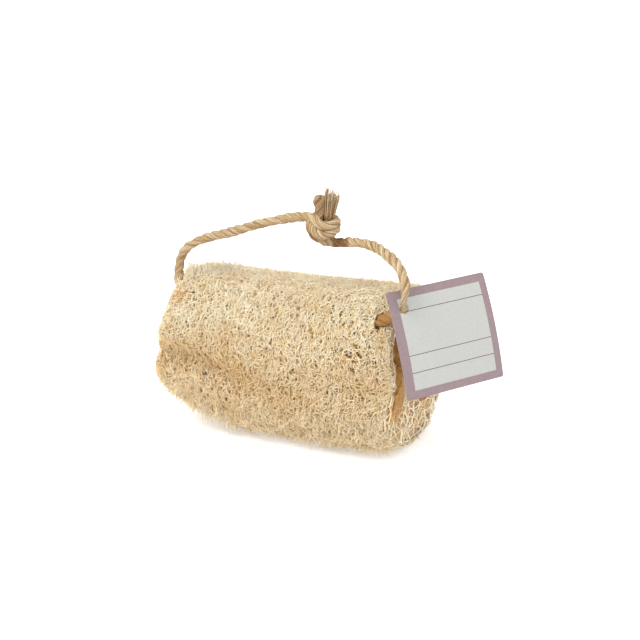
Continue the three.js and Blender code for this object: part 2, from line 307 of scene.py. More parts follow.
def sponge_form(share, angle):
    """Points of the smooth form: share 0 to 1 from left to right, angle from the front over the top."""
    cosine, sine = np.cos(angle), np.sin(angle)
    frontness = np.clip(cosine, 0, 1)
    power = SQUARENESS + 0.3 * sine + 0.125 * cosine * (1 - sine)
    reach = (np.abs(cosine) ** power + np.abs(sine) ** power) ** (-1 / power)
    lift = LIFT_LEFT * np.clip(1 - share / LIFT_LEFT_SHARE, 0, None) ** 2
    lift = lift + LIFT_RIGHT * np.clip(1 - (1 - share) / LIFT_RIGHT_SHARE, 0, None) ** 2
    top = mix(TOP_LEFT, TOP_RIGHT, share) - TOP_SAG * np.sin(np.pi * share)
    bottom = lift - PRESSED_FLAT
    half_depth = mix(HALF_DEPTH_LEFT, HALF_DEPTH_RIGHT, share) - WAIST * bell(share, 0.3, 0.2)
    rims = np.exp(-share / RIM_REACH) + np.exp(-(1 - share) / RIM_REACH)
    rounded = reach * (1 - RIM_ROUNDING * rims)
    full = (top + bottom) / 2 + (top - bottom) / 2 * rounded * sine
    crease_height = CREASE_HEIGHT_LEFT - CREASE_DROP * smooth_step(share, 0, 0.75)
    crease = CREASE_DEPTH * (1 - smooth_step(share, 0.15, 0.65)) * frontness
    y = -half_depth * rounded * cosine + crease * bell(full, crease_height, CREASE_WIDTH)
    z = np.maximum(full, 0)
    x = mix(end_left(z), end_right(y, z, frontness), share)
    return np.stack([x, y, z], -1)


class EvenTurn:
    """Angles that space points evenly round the middle section, by its arc length."""

    def __init__(self, samples=1440):
        self.angles = np.linspace(0, 2 * np.pi, samples + 1)
        section = sponge_form(np.full(samples + 1, 0.5), self.angles)
        steps = np.linalg.norm(np.diff(section, axis=0), axis=1)
        lengths = np.concatenate([[0], np.cumsum(steps)])
        self.girth = lengths[-1]
        self.turns = lengths / self.girth

    def angle(self, turn):
        return np.interp(turn % 1.0, self.turns, self.angles)


even_turn = EvenTurn()


def skin(share, turn):
    """Position, outward normal, and unit steps along and round the sponge."""
    step = 0.003
    here = np.clip(share, step, 1 - step)
    place = sponge_form(np.clip(share, 0, 1), even_turn.angle(turn))
    along = sponge_form(here + step, even_turn.angle(turn)) - sponge_form(here - step, even_turn.angle(turn))
    around = sponge_form(here, even_turn.angle(turn + step)) - sponge_form(here, even_turn.angle(turn - step))
    normal = unit(np.cross(unit(along), unit(around)))
    return place, normal, unit(along), unit(around)


def in_chamber(points):
    """How far out each point is from the nearest seed chamber's middle line: below 1 is inside it."""
    nearest = np.full(points.shape[:-1], 9.0)
    for chamber in CHAMBERS:
        start, stop = np.array(chamber["from"]), np.array(chamber["to"])
        share = (points[..., 0] - start[0]) / (stop[0] - start[0])
        offset = (points[..., 1:] - mix(start[1:], stop[1:], share[..., None])) / chamber["half"]
        reach = np.hypot(offset[..., 0], offset[..., 1])
        nearest = np.where((share > 0) & (share < 1), np.minimum(nearest, reach), nearest)
    return nearest


# Meshes

def mesh_object(name, vertices, faces, material, smooth=True):
    mesh = bpy.data.meshes.new(name)
    mesh.from_pydata([tuple(v) for v in np.asarray(vertices) * MM], [], [tuple(f) for f in faces])
    mesh.materials.append(material)
    mesh.polygons.foreach_set("use_smooth", np.full(len(mesh.polygons), smooth))
    mesh.update()
    piece = bpy.data.objects.new(name, mesh)
    bpy.context.scene.collection.objects.link(piece)
    return piece


def add_values(piece, name, values):
    attribute = piece.data.attributes.new(name, "FLOAT", "POINT")
    attribute.data.foreach_set("value", np.ascontiguousarray(values, np.float32).ravel())


def fibre_tubes(name, centres, normals, radii, material, sides=3, flatness=0.8, values=None):
    """One mesh of closed tubes: centres and normals are (fibre, point, 3), radii (fibre, point)."""
    count, points, _ = centres.shape
    tangents = unit(np.gradient(centres, axis=1))
    across = unit(np.cross(tangents, normals))
    upward = unit(np.cross(across, tangents))
    angles = 2 * np.pi * np.arange(sides) / sides + np.pi / 2
    ring = (np.cos(angles)[:, None] * across[:, :, None, :]
            + flatness * np.sin(angles)[:, None] * upward[:, :, None, :])
    vertices = centres[:, :, None, :] + radii[:, :, None, None] * ring
    corner = np.arange(count * points * sides).reshape(count, points, sides)
    following = np.roll(corner, -1, axis=2)
    quads = np.stack([corner[:, :-1], following[:, :-1], following[:, 1:], corner[:, 1:]], -1).reshape(-1, 4)
    caps = np.concatenate([corner[:, 0, ::-1], corner[:, -1]])
    piece = mesh_object(name, vertices.reshape(-1, 3), quads.tolist() + caps.tolist(), material)
    for key, value in (values or {}).items():
        add_values(piece, key, np.broadcast_to(value[:, :, None], corner.shape))
    return piece


def band_faces(first, count, bands):
    """Quads between neighbouring rings of vertices: count in each ring, numbered from first."""
    faces = []
    for band in range(bands):
        for i in range(count):
            a = first + band * count + i
            b = first + band * count + (i + 1) % count
            faces.append((a, a + count, b + count, b))
    return faces


def free_hairs(rng, starts, headings, kind):
    """Centres, normals and radii of curved loose fibres from their starting points."""
    count = len(starts)
    reach = rng.uniform(*kind["length"], count)
    station = np.linspace(0, 1, kind["points"])[None, :, None]
    turn = unit(rng.normal(0, 1, (count, 3)))
    path = station * headings[:, None] + kind["curl"] * station**2 * turn[:, None]
    centres = starts[:, None] + reach[:, None, None] * path
    radii = np.linspace(1, kind["tip"], kind["points"])[None] * rng.uniform(*kind["radius"], count)[:, None]
    return centres, np.broadcast_to(turn[:, None], path.shape), radii


# Materials

def srgb(red, green, blue):
    def linear(value):
        value /= 255
        return value / 12.92 if value <= 0.04045 else ((value + 0.055) / 1.055) ** 2.4
    return (linear(red), linear(green), linear(blue), 1.0)


class Look:
    """A material and its shader nodes."""

    def __init__(self, name):
        self.material = bpy.data.materials.new(name)
        self.material.use_nodes = True
        self.nodes = self.material.node_tree.nodes
        self.links = self.material.node_tree.links
        self.shader = self.nodes["Principled BSDF"]

    def fill(self, socket, value):
        """Link a socket to another one, or give it a constant."""
        if isinstance(value, bpy.types.NodeSocket):
            self.links.new(value, socket)
        else:
            socket.default_value = value

    def node(self, kind, inputs=None, **settings):
        """A new node with its settings made and its inputs filled."""
        node = self.nodes.new("ShaderNode" + kind)
        for key, value in settings.items():
            setattr(node, key, value)
        for key, value in (inputs or {}).items():
            self.fill(node.inputs[key], value)
        return node

    def place(self):
        return self.node("TexCoord").outputs["Object"]

    def strand(self):
        return self.node("NewGeometry").outputs["Random Per Island"]

    def stored(self, name):
        """A value that the mesh carries."""
        return self.node("Attribute", attribute_name=name).outputs["Fac"]

    def ramp(self, factor, stops):
        node = self.node("ValToRGB", {"Fac": factor})
        elements = node.color_ramp.elements
        while len(elements) < len(stops):
            elements.new(0.5)
        for element, (place, color) in zip(elements, stops):
            element.position = place
            element.color = color
        return node.outputs["Color"]

    def noise(self, place, scale, detail):
        inputs = {"Vector": place, "Scale": scale, "Detail": detail}
        return self.node("TexNoise", inputs).outputs["Fac"]

    def mix(self, factor, first, second):
        inputs = {0: factor, 6: first, 7: second}
        return self.node("Mix", inputs, data_type="RGBA").outputs[2]

    def math(self, operation, first, second):
        return self.node("Math", {0: first, 1: second}, operation=operation).outputs[0]

    def bump(self, height, strength, distance):
        inputs = {"Height": height, "Strength": strength, "Distance": distance}
        self.fill(self.shader.inputs["Normal"], self.node("Bump", inputs).outputs["Normal"])

    def surface(self, color, roughness, specular):
        values = {"Base Color": color, "Roughness": roughness, "Specular IOR Level": specular}
        for key, value in values.items():
            self.fill(self.shader.inputs[key], value)
        return self.material


def fibre_material(name, stops, tan):
    """Dry plant fibre: a tone for each strand, faint tan patches, and tan where the strands say so, which is
    partly painted shade.
    """
    look = Look(name)
    tone = look.ramp(look.strand(), stops)
    patch = look.ramp(look.noise(look.place(), 60, 4), PATCHES)
    patched = look.mix(patch, tone, tan)
    return look.surface(look.mix(look.stored("tan"), patched, tan), 0.8, 0.2)


def bed_material():
    """Inside of the web behind the surface strands: tan in painted shade, darker than the strands and darker
    toward each cell's middle as the shade in the net's holes, and amber chamber walls.
    """
    look = Look("loofah_bed")
    place = look.place()
    cells = look.node("TexVoronoi", {"Vector": place, "Scale": 420}, feature="DISTANCE_TO_EDGE")
    edge = cells.outputs["Distance"]
    # Painted shade of the bed, with the tan share
    shaded_and_tanned = look.mix(look.stored("tan"), look.ramp(edge, BED_SHADE_TONES), BED_TAN_AND_SHADE)
    amber = look.ramp(look.noise(place, 180, 5), AMBER_TONES)
    look.bump(edge, 0.6, 0.0008)
    return look.surface(look.mix(look.stored("inside"), shaded_and_tanned, amber), 0.75, 0.2)


def jute_material():
    """Twisted bast fibre: streaks along the lay, painted shade in the grooves between the strands, brown
    stretches and painted amber shade.
    """
    look = Look("jute")
    fine = look.noise(look.place(), 1500, 4)
    color = look.ramp(look.mix(0.5, fine, look.stored("streak")), JUTE_TONES)
    for name, stain_and_shade in JUTE_STAINS_AND_SHADE.items():
        color = look.mix(look.stored(name), color, stain_and_shade)
    look.bump(fine, 0.5, 0.0003)
    return look.surface(color, 0.85, 0.15)


SURFACE_TONES = [(0.0, srgb(237, 219, 181)), (0.3, srgb(242, 228, 196)), (0.7, srgb(246, 235, 208)),
                 (1.0, srgb(249, 241, 219))]
WISP_TONES = [(0.0, srgb(202, 190, 170)), (1.0, srgb(232, 224, 208))]
# Painted shade: the deep strands are darker and warmer than the surface ones, for the shade in the gaps
DEEP_SHADE_TONES = [(0.0, srgb(222, 184, 116)), (0.5, srgb(230, 197, 134)), (1.0, srgb(237, 210, 156))]
PATCHES = [(0.45, (0, 0, 0, 1)), (0.7, (0.4, 0.4, 0.4, 1))]
# Tan colours, mixed in by the tan share, which is partly painted shade
SURFACE_TAN_AND_SHADE = srgb(224, 182, 118)
WISP_TAN_AND_SHADE = srgb(210, 190, 155)
DEEP_TAN_AND_SHADE = srgb(198, 162, 104)
# Painted shade: the bed darkens toward each cell's middle, for the shade in the net's holes
BED_SHADE_TONES = [(0.0, srgb(238, 219, 180)), (0.1, srgb(228, 204, 156)), (0.3, srgb(202, 170, 114))]
BED_TAN_AND_SHADE = srgb(194, 146, 86)
AMBER_TONES = [(0.35, srgb(142, 92, 38)), (0.65, srgb(204, 156, 90))]
# Painted shade: colour of the dark floors sunk in the pits
PIT_SHADE_COLOUR = srgb(98, 66, 24)
JUTE_TONES = [(0.3, srgb(140, 108, 70)), (0.5, srgb(168, 145, 111)), (0.72, srgb(195, 179, 150))]
# Painted shade in the grooves, painted amber shade where the cord leaves the sponge, and brown stretches
JUTE_STAINS_AND_SHADE = {"groove_shade": srgb(124, 88, 50), "brown": srgb(112, 72, 40), "amber": srgb(142, 100, 48)}
BORDER_TONES = [(0.35, srgb(130, 112, 115)), (0.65, srgb(137, 118, 121))]
PAPER_TONES = [(0.35, srgb(168, 168, 164)), (0.65, srgb(174, 174, 170))]
RULE_COLOUR = srgb(96, 86, 90)


# Cord

def between(first, second, low, high, value):
    """The place of a value on the straight run from first, at low, to second, at high."""
    return (high - value) / (high - low) * first + (value - low) / (high - low) * second


def smooth_route(points, spacing):
    """Centripetal curve through the points, resampled at an even spacing."""
    points = np.asarray(points, float)
    before = 2 * points[0] - points[1]
    after = 2 * points[-1] - points[-2]
    padded = np.vstack([before, points, after])
    pieces = []
    share = np.linspace(0, 1, 24, endpoint=False)[:, None]
    for p0, p1, p2, p3 in zip(padded, padded[1:], padded[2:], padded[3:]):
        gaps = [np.linalg.norm(b - a) ** 0.5 for a, b in ((p0, p1), (p1, p2), (p2, p3))]
        k0, k1, k2, k3 = np.concatenate([[0], np.cumsum(gaps)])
        value = k1 + share * (k2 - k1)
        a1 = between(p0, p1, k0, k1, value)
        a2 = between(p1, p2, k1, k2, value)
        a3 = between(p2, p3, k2, k3, value)
        b1 = between(a1, a2, k0, k2, value)
        b2 = between(a2, a3, k1, k3, value)
        pieces.append(between(b1, b2, k1, k2, value))
    line = np.vstack(pieces + [points[-1:]])
    lengths = np.concatenate([[0], np.cumsum(np.linalg.norm(np.diff(line, axis=0), axis=1))])
    wanted = np.linspace(0, lengths[-1], int(round(lengths[-1] / spacing)) + 1)
    return np.stack([np.interp(wanted, lengths, line[:, k]) for k in range(3)], -1)


def carried_frames(line):
    """Tangents, and a pair of axes carried along the line without twist."""
    tangents = unit(np.gradient(line, axis=0))
    side = unit(np.cross(tangents[0], ASLANT))
    first = []
    for tangent in tangents:
        side = unit(side - tangent * (side @ tangent))
        first.append(side)
    first = np.array(first)
    return tangents, first, np.cross(tangents, first)


def knot_points(points):
    turn = math.radians(KNOT_TURN)
    points = np.asarray(points, float)
    x = math.cos(turn) * points[:, 0] - math.sin(turn) * points[:, 1]
    y = math.sin(turn) * points[:, 0] + math.cos(turn) * points[:, 1]
    return np.stack([x, y, points[:, 2]], -1) + KNOT_PLACE


class Rope:
    """Three-strand rope along one line, as rings that can be cut into pieces with no seam."""

    sides = 36
    spacing = 0.65

    def __init__(self):
        points = np.vstack([knot_points(LEFT_STRAND)[::-1], CORD_ROUTE, knot_points(RIGHT_STRAND)])
        self.line = smooth_route(points, self.spacing)
        self.tangents, self.first, self.second = carried_frames(self.line)
        self.along = self.spacing * np.arange(len(self.line))
        self.rings, self.groove_shade = self.sweep()

    def ring_at(self, point):
        return int(np.argmin(np.linalg.norm(self.line - np.asarray(point, float), axis=1)))

    def past(self, point):
        """Length along the rope, counted from a point of its route."""
        return self.along - self.along[self.ring_at(point)]

    def thickness(self):
        """Uneven along its length: slim through the tag, swollen where it leaves the sponge, loose tails."""
        uneven = 1.01 + 0.05 * np.sin(self.along / 7.3) + 0.055 * np.sin(self.along / 2.6 + 1)
        squeezed = 0.46 * bell(self.past(CORD_ROUTE[TAG_HOLE_POINT]), 3, 7.5)
        opened = 0.4 * (1 - smooth_step(self.along, 2, 10))
        left = self.along[-1] - self.along
        loosened = 0.3 * (1 - smooth_step(left, 3, 13))
        rounded = np.sqrt(1 - (1 - np.clip((left + 0.2) / 2.2, 0, 1)) ** 2)
        swollen = 0.25 * bell(self.past(CORD_ROUTE[FRONT_WALL_POINT]), 2, 5)
        return (uneven - squeezed - opened + loosened + swollen) * rounded

    def brownness_and_shade(self):
        """Brown stretches beside the knot and at the blunt tail, and painted shade low on the knot."""
        beside = self.past(CORD_ROUTE[-1]) - 0.5
        low = self.past(knot_points(RIGHT_STRAND)[3])
        tail = self.along[-1] - self.along
        # The second stretch is painted shade low on the knot
        stretches = [0.82 * (1 - smooth_step(np.abs(beside), 5.2, 7)),
                     0.8 * bell(low, -0.5, 4.2),
                     0.5 * (1 - smooth_step(tail, 8, 16))]
        return np.max(stretches, axis=0)

    def leaving_shade(self):
        """Painted amber shade where it leaves the sponge, behind the tag."""
        leaving = self.past(CORD_ROUTE[FRONT_WALL_POINT]) - 2
        return 0.85 * (1 - smooth_step(np.abs(leaving), 5, 9))

    def streaks(self):
        """Pale and dark fibres that follow the lay."""
        rng = np.random.default_rng(13)
        coarse = rng.random((len(self.line) // STREAK_RINGS + 2, self.sides))
        station = np.arange(len(self.line)) / STREAK_RINGS
        low = station.astype(int)
        return mix(coarse[low], coarse[low + 1], (station - low)[:, None])

    def sweep(self):
        strand = CORD_DIAMETER / 4
        polar = 2 * np.pi * np.arange(self.sides) / self.sides
        part = (polar + np.pi / 3) % (2 * np.pi / 3) - np.pi / 3
        lobe = strand * np.cos(part) + np.sqrt(np.maximum(strand**2 - (strand * np.sin(part)) ** 2, 0))
        round_strand = np.arctan2(lobe * np.sin(part), lobe * np.cos(part) - strand)
        softened = 2 * strand * (lobe / (2 * strand)) ** 0.5
        yarns = 0.08 * np.sin(5 * round_strand[None] + 2 * np.pi * self.along[:, None] / 5.5)
        reach = softened[None] * self.thickness()[:, None] + yarns
        wobble = 0.55 * np.sin(self.along / 17) + 0.4 * np.sin(self.along / 6.1 + 2)
        turned = polar[None] + (2 * np.pi * self.along / CORD_LAY + wobble)[:, None]
        offsets = np.cos(turned)[..., None] * self.first[:, None]
        offsets = offsets + np.sin(turned)[..., None] * self.second[:, None]
        # Painted shade in the grooves between the strands
        groove_shade = np.broadcast_to(0.6 * smooth_step(np.abs(part), 0.7, 1.05)[None], reach.shape)
        return self.line[:, None] + reach[..., None] * offsets, groove_shade

    def piece(self, name, start, stop, material):
        rings = self.rings[start:stop + 1]
        corner = np.arange(rings.shape[0] * self.sides).reshape(rings.shape[:2])
        following = np.roll(corner, -1, axis=1)
        quads = np.stack([corner[:-1], following[:-1], following[1:], corner[1:]], -1).reshape(-1, 4)
        caps = [corner[0, ::-1].tolist(), corner[-1].tolist()]
        piece = mesh_object(name, rings.reshape(-1, 3), quads.tolist() + caps, material)
        add_values(piece, "groove_shade", self.groove_shade[start:stop + 1])
        add_values(piece, "streak", self.streaks()[start:stop + 1])
        for key, share in (("brown", self.brownness_and_shade()), ("amber", self.leaving_shade())):
            add_values(piece, key, np.broadcast_to(share[start:stop + 1, None], rings.shape[:2]))
        return piece

    def fuzz(self, name, start, stop, count, seed, material):
        """Fine loose fibres along a stretch of the rope."""
        rng = np.random.default_rng(seed)
        ring = rng.integers(start, stop, count)
        starts = self.rings[ring, rng.integers(0, self.sides, count)]
        outward = unit(starts - self.line[ring])
        along = self.tangents[ring] * rng.choice([-1.0, 1.0], count)[:, None]
        headings = unit(0.6 * outward + along + rng.normal(0, 0.4, (count, 3)))
        centres, normals, radii = free_hairs(rng, starts - 0.3 * outward, headings, CORD_FUZZ)
        streak = np.full(radii.shape, FUZZ_STREAK)
        return fibre_tubes(name, centres, normals, radii, material, values={"streak": streak})

    def brush(self, name, material):
        """Frayed tail of the left strand: its yarns opened out from the knot up."""
        rng = np.random.default_rng(17)
        count = BRUSH_YARNS
        root = int(BRUSH_ROOT / self.spacing)
        axis = unit(self.line[0] - self.line[root])
        polar = rng.uniform(0, 2 * np.pi, count)
        reach = CORD_DIAMETER / 2 * np.sqrt(rng.uniform(0.15, 1, count))
        outward = np.cos(polar)[:, None] * self.first[root] + np.sin(polar)[:, None] * self.second[root]
        starts = self.line[root] + reach[:, None] * outward
        headings = unit(axis + 0.035 * reach[:, None] * outward + rng.normal(0, 0.04, (count, 3)))
        centres, normals, radii = free_hairs(rng, starts, headings, BRUSH)
        brown = np.broadcast_to(rng.choice([0, 0, 0.1, 0.4], count)[:, None], radii.shape)
        streak = np.broadcast_to(rng.uniform(0.3, 1, count)[:, None], radii.shape)
        amber = np.broadcast_to(np.linspace(0.55, 0, BRUSH["points"])[None], radii.shape)
        values = {"brown": brown, "streak": streak, "amber": amber}
        return fibre_tubes(name, centres, normals, radii, material, sides=4, values=values)


jute = jute_material()
rope = Rope()
LEFT_JOINT = rope.ring_at(CORD_ROUTE[0])
LEFT_MOUTH = rope.ring_at(CORD_ROUTE[LEFT_MOUTH_POINT])
FRONT_WALL = rope.ring_at(CORD_ROUTE[FRONT_WALL_POINT])
RIGHT_JOINT = rope.ring_at(CORD_ROUTE[-1])
knot_left = rope.piece("knot_left_strand", 0, LEFT_JOINT, jute)
cord_left = rope.piece("cord_left", LEFT_JOINT, LEFT_MOUTH, jute)
cord_inside = rope.piece("cord_inside", LEFT_MOUTH, FRONT_WALL, jute)
cord_right = rope.piece("cord_right", FRONT_WALL, RIGHT_JOINT, jute)
knot_right = rope.piece("knot_right_strand", RIGHT_JOINT, len(rope.line) - 1, jute)
knot_brush = rope.brush("knot_brush", jute)
knot_fuzz = rope.fuzz("knot_fuzz", RIGHT_JOINT, len(rope.line) - 1, FUZZ_ON_KNOT, 51, jute)
cord_left_fuzz = rope.fuzz("cord_left_fuzz", LEFT_JOINT, LEFT_MOUTH, FUZZ_ON_LEFT, 52, jute)
cord_right_fuzz = rope.fuzz("cord_right_fuzz", FRONT_WALL + BARE_RINGS, RIGHT_JOINT, FUZZ_ON_RIGHT, 53, jute)


# Tag

def tag_material():
    """Printed card: a mauve border round a pale panel with thin rules, on a soft uncoated stock."""
    look = Look("tag_card")
    place = look.place()
    split = look.node("SeparateXYZ", {0: place})
    panel = look.math("GREATER_THAN", look.stored("front"), 0.5)
    for axis, (low, high) in ((0, TAG_PANEL_ACROSS), (1, TAG_PANEL_UP)):
        panel = look.math("MULTIPLY", panel, look.math("GREATER_THAN", split.outputs[axis], MM * low))
        panel = look.math("MULTIPLY", panel, look.math("LESS_THAN", split.outputs[axis], MM * high))
    lines = 0.0
    for height in TAG_RULES:
        gap = look.math("ABSOLUTE", look.math("SUBTRACT", split.outputs[1], MM * height), 0.0)
        lines = look.math("MAXIMUM", lines, look.math("LESS_THAN", gap, MM * TAG_RULE_WIDTH / 2))
    mottle = look.noise(place, 900, 5)
    ruled = look.mix(lines, look.ramp(mottle, PAPER_TONES), RULE_COLOUR)
    look.bump(mottle, 0.12, 0.0002)
    return look.surface(look.mix(panel, look.ramp(mottle, BORDER_TONES), ruled), 0.62, 0.5)


def tag_outline(inset, corner_steps=6):
    half = TAG_SIDE / 2 - inset
    corner = max(TAG_CORNER - inset, 0.3)
    points = []
    for quarter, (across, up) in enumerate(((1, 1), (-1, 1), (-1, -1), (1, -1))):
        for step in range(corner_steps + 1):
            angle = math.pi / 2 * (quarter + step / corner_steps)
            points.append((across * (half - corner) + corner * math.cos(angle),
                           up * (half - corner) + corner * math.sin(angle)))
    return points


def tag_rotation():
    turn = Matrix.Rotation(math.radians(TAG_TURN), 3, "Z")
    rise = Matrix.Rotation(math.radians(-TAG_RISE), 3, "Y")
    lean = Matrix.Rotation(math.radians(90 - TAG_LEAN), 3, "X")
    return turn @ rise @ lean


def tag_bend(height):
    """How far the bowed card stands in front of its plane, which it meets at the hole."""
    half = TAG_SIDE / 2
    return TAG_BOW * ((TAG_HOLE_PLACE[1] / half) ** 2 - (height / half) ** 2)


def make_tag():
    """Card with a round hole, its edges eased and its sheet bowed a little."""
    edge = 0.12
    hole_steps = 40
    half = TAG_THICKNESS / 2
    levels = ((edge, half), (0, half - edge), (0, edge - half), (edge, -half))
    angles = [2 * math.pi * i / hole_steps for i in range(hole_steps)]
    rings = []
    holes = []
    for inset, height in levels:
        rings.append([(x, y, height) for x, y in tag_outline(inset)])
        radius = TAG_HOLE_RADIUS + inset
        holes.append([(TAG_HOLE_PLACE[0] + radius * math.cos(angle),
                       TAG_HOLE_PLACE[1] + radius * math.sin(angle), height) for angle in angles])
    vertices = [p for ring in rings + holes for p in ring]
    count = len(rings[0])
    offset = len(levels) * count
    bands = len(levels) - 1
    faces = band_faces(0, count, bands) + band_faces(offset, hole_steps, bands)
    tag = mesh_object("tag_card", vertices, faces, tag_material(), smooth=False)
    work = bmesh.new()
    work.from_mesh(tag.data)
    work.verts.ensure_lookup_table()
    for level in (0, bands):
        outer = [work.verts[level * count + i] for i in range(count)]
        inner = [work.verts[offset + level * hole_steps + i] for i in range(hole_steps)]
        edges = []
        for loop in (outer, inner):
            for a, b in zip(loop, loop[1:] + loop[:1]):
                edges.append(work.edges.get((a, b)))
        bmesh.ops.triangle_fill(work, edges=edges, use_beauty=True, use_dissolve=False)
    for height in np.linspace(-TAG_SIDE / 2, TAG_SIDE / 2, TAG_STRIPS + 1)[1:-1]:
        everything = work.verts[:] + work.edges[:] + work.faces[:]
        bmesh.ops.bisect_plane(work, geom=everything, plane_co=(0, MM * height, 0), plane_no=(0, 1, 0))
    front = work.verts.layers.float.new("front")
    for vertex in work.verts:
        vertex[front] = float(vertex.co.z > 0)
        vertex.co.z += MM * tag_bend(vertex.co.y / MM)
    bmesh.ops.recalc_face_normals(work, faces=work.faces)
    work.to_mesh(tag.data)
    work.free()
    tag.location = MM * Vector(TAG_PLACE)
    tag.rotation_euler = tag_rotation().to_euler()
    return tag


tag = make_tag()


# Sponge pieces

def in_cavity(spots):
    """How far out each spot of the right cut face is from the middle of the torn front chamber mouth."""
    return np.linalg.norm((spots - np.array(CAVITY)) / CAVITY_HALF, axis=-1)


def tan_and_shade_share(points):
    """How tan the strands are: painted shade low down, in the crease and where the cord goes in, and the tan
    of the torn mouth.
    """
    share = (points[..., 0] + HALF_LENGTH) / (2 * HALF_LENGTH)
    height = CREASE_HEIGHT_LEFT - CREASE_DROP * smooth_step(share, 0, 0.75)
    front = smooth_step(-points[..., 1], 5, 20)
    # Painted shade in the crease, low down and round the cord's mouth; the torn mouth's tan is its own
    crease = (1 - smooth_step(share, 0.3, 0.75)) * bell(points[..., 2], height + 3, 9) * front
    low = 1 - smooth_step(points[..., 2], 40, 72)
    mouth = bell(np.linalg.norm(points - MOUTH_SHADE_MIDDLE, axis=-1), 0, 4.5)
    cavity = (1 - smooth_step(in_cavity(points[..., 1:]), 0.7, 1.5)) * smooth_step(points[..., 0], 52, 62)
    tan = CREASE_SHADE_SHARE * crease + LOW_SHADE_SHARE * low + MOUTH_SHADE_SHARE * mouth + TAN_CAVITY * cavity
    return np.clip(tan, 0, TAN_MOST)


def clear_of_cord(centres, gap):
    """Fibres that keep a gap to the cord's line and stay off the tag."""
    line = rope.line[::3]
    gaps = gap + MOUTH_GAP * bell(rope.along[::3], rope.along[LEFT_MOUTH], 7)
    near = ((centres > line.min(0) - 6) & (centres < line.max(0) + 6)).all(-1).any(-1)
    keep = np.ones(len(centres), bool)
    for i in np.flatnonzero(near):
        keep[i] = (np.linalg.norm(centres[i][:, None] - line[None], axis=-1) > gaps).all()
    card = (centres - np.array(TAG_PLACE)) @ np.array(tag_rotation())
    off_card = np.abs(card[..., 2] - tag_bend(card[..., 1]))
    on_card = (np.abs(card[..., :2]) < TAG_SIDE / 2 + 1).all(-1) & (off_card < CARD_GAP)
    return keep & ~on_card.any(-1)


def pit_places():
    """Middles and radii of small pits in the net: fewer to the left, and a cluster on the front."""
    rng = np.random.default_rng(21)
    share = np.concatenate([rng.uniform(0.03, 0.97, PITS), rng.normal(*CLUSTER_SHARE, PITS_IN_CLUSTER)])
    spot = np.concatenate([rng.uniform(0, 1, PITS), rng.normal(*CLUSTER_TURN, PITS_IN_CLUSTER)])
    radius = np.concatenate([rng.uniform(*PIT_RADIUS, PITS), rng.uniform(*CLUSTER_RADIUS, PITS_IN_CLUSTER)])
    keep = share > rng.uniform(0, PIT_THINNING, len(share))
    place, normal, _, _ = skin(share[keep], spot[keep])
    return place, normal, radius[keep]


def clear_of_pits(centres):
    places, _, radii = pit_places()
    tree = KDTree(len(places))
    for i, place in enumerate(places):
        tree.insert(place, i)
    tree.balance()
    halfway = (centres[:, 1:] + centres[:, :-1]) / 2
    keep = np.ones(len(centres), bool)
    for i, line in enumerate(np.concatenate([centres, halfway], axis=1)):
        for point in line:
            _, pit, distance = tree.find(point)
            if distance < radii[pit] + PIT_MARGIN:
                keep[i] = False
    return keep


def add_pit_shade():
    """Painted shade: dark floors sunk in the pits, under the strands that cross them, stand for the shade
    down the holes.
    """
    places, normals, radii = pit_places()
    keep = places[:, 2] > 2
    depth = np.array(PIT_DEPTHS)[None, :, None]
    centres = (places[:, None] + depth * normals[:, None])[keep]
    sideways = np.broadcast_to(ASLANT, centres.shape)
    widths = np.broadcast_to(radii[keep][:, None], centres.shape[:2])
    material = Look("pit_floor_shade").surface(PIT_SHADE_COLOUR, 0.9, 0.5)
    pits = fibre_tubes("loofah_pit_shade", centres, sideways, widths, material, sides=7, flatness=1.0)
    loofah_pieces.append(pits)


def lay_fibres(rng, layer):
    """Wavy strands lying in the skin, most of them round the sponge, their ends diving under others."""
    count, points = layer["count"], layer["points"]
    share = rng.uniform(-0.005, 1.005, count)
    turn = rng.uniform(0, 1, count)
    lined_up = rng.random(count) < LINED_UP_SHARE
    headings = rng.normal(np.pi / 2, layer["spread"], count)
    heading = np.where(lined_up, headings, rng.uniform(0, np.pi, count))
    reach = rng.uniform(*layer["length"], count)
    end_to_end = np.linspace(-0.5, 0.5, points)
    station = end_to_end[None] * reach[:, None]
    bend = heading[:, None] + rng.normal(0, 0.12, count)[:, None] * station
    waves = station / rng.uniform(*WAVE_LENGTH, count)[:, None] + rng.random(count)[:, None]
    side = rng.uniform(*layer["wave"], count)[:, None] * np.sin(2 * np.pi * waves)
    along = station * np.cos(bend) - side * np.sin(bend)
    around = station * np.sin(bend) + side * np.cos(bend)
    shares = np.clip(share[:, None] + along / (2 * HALF_LENGTH - 8), -0.002, 1.002)
    place, normal, _, _ = skin(shares, turn[:, None] + around / even_turn.girth)
    ends = (2 * np.abs(end_to_end)) ** 2.2
    sunk = rng.uniform(*layer["depth"], count)[:, None] - layer["dive"] * ends[None]
    sunk = sunk + rng.normal(0, 0.1, (count, points))
    centres = place + normal * (sunk * mix(0.4, 1, smooth_step(place[..., 2], 0, 3)))[..., None]
    centres[..., 2] = np.maximum(centres[..., 2], LOWEST_FIBRE)
    return centres, normal


def tapered(rng, layer):
    """Radii of a layer's strands, thinner at their ends."""
    count, points = layer["count"], layer["points"]
    profile = 1 - 0.5 * (2 * np.abs(np.linspace(-0.5, 0.5, points))) ** 4
    widest = rng.uniform(*layer["radius"], count)[:, None]
    uneven = rng.uniform(0.85, 1.15, (count, points))
    return widest * profile * uneven


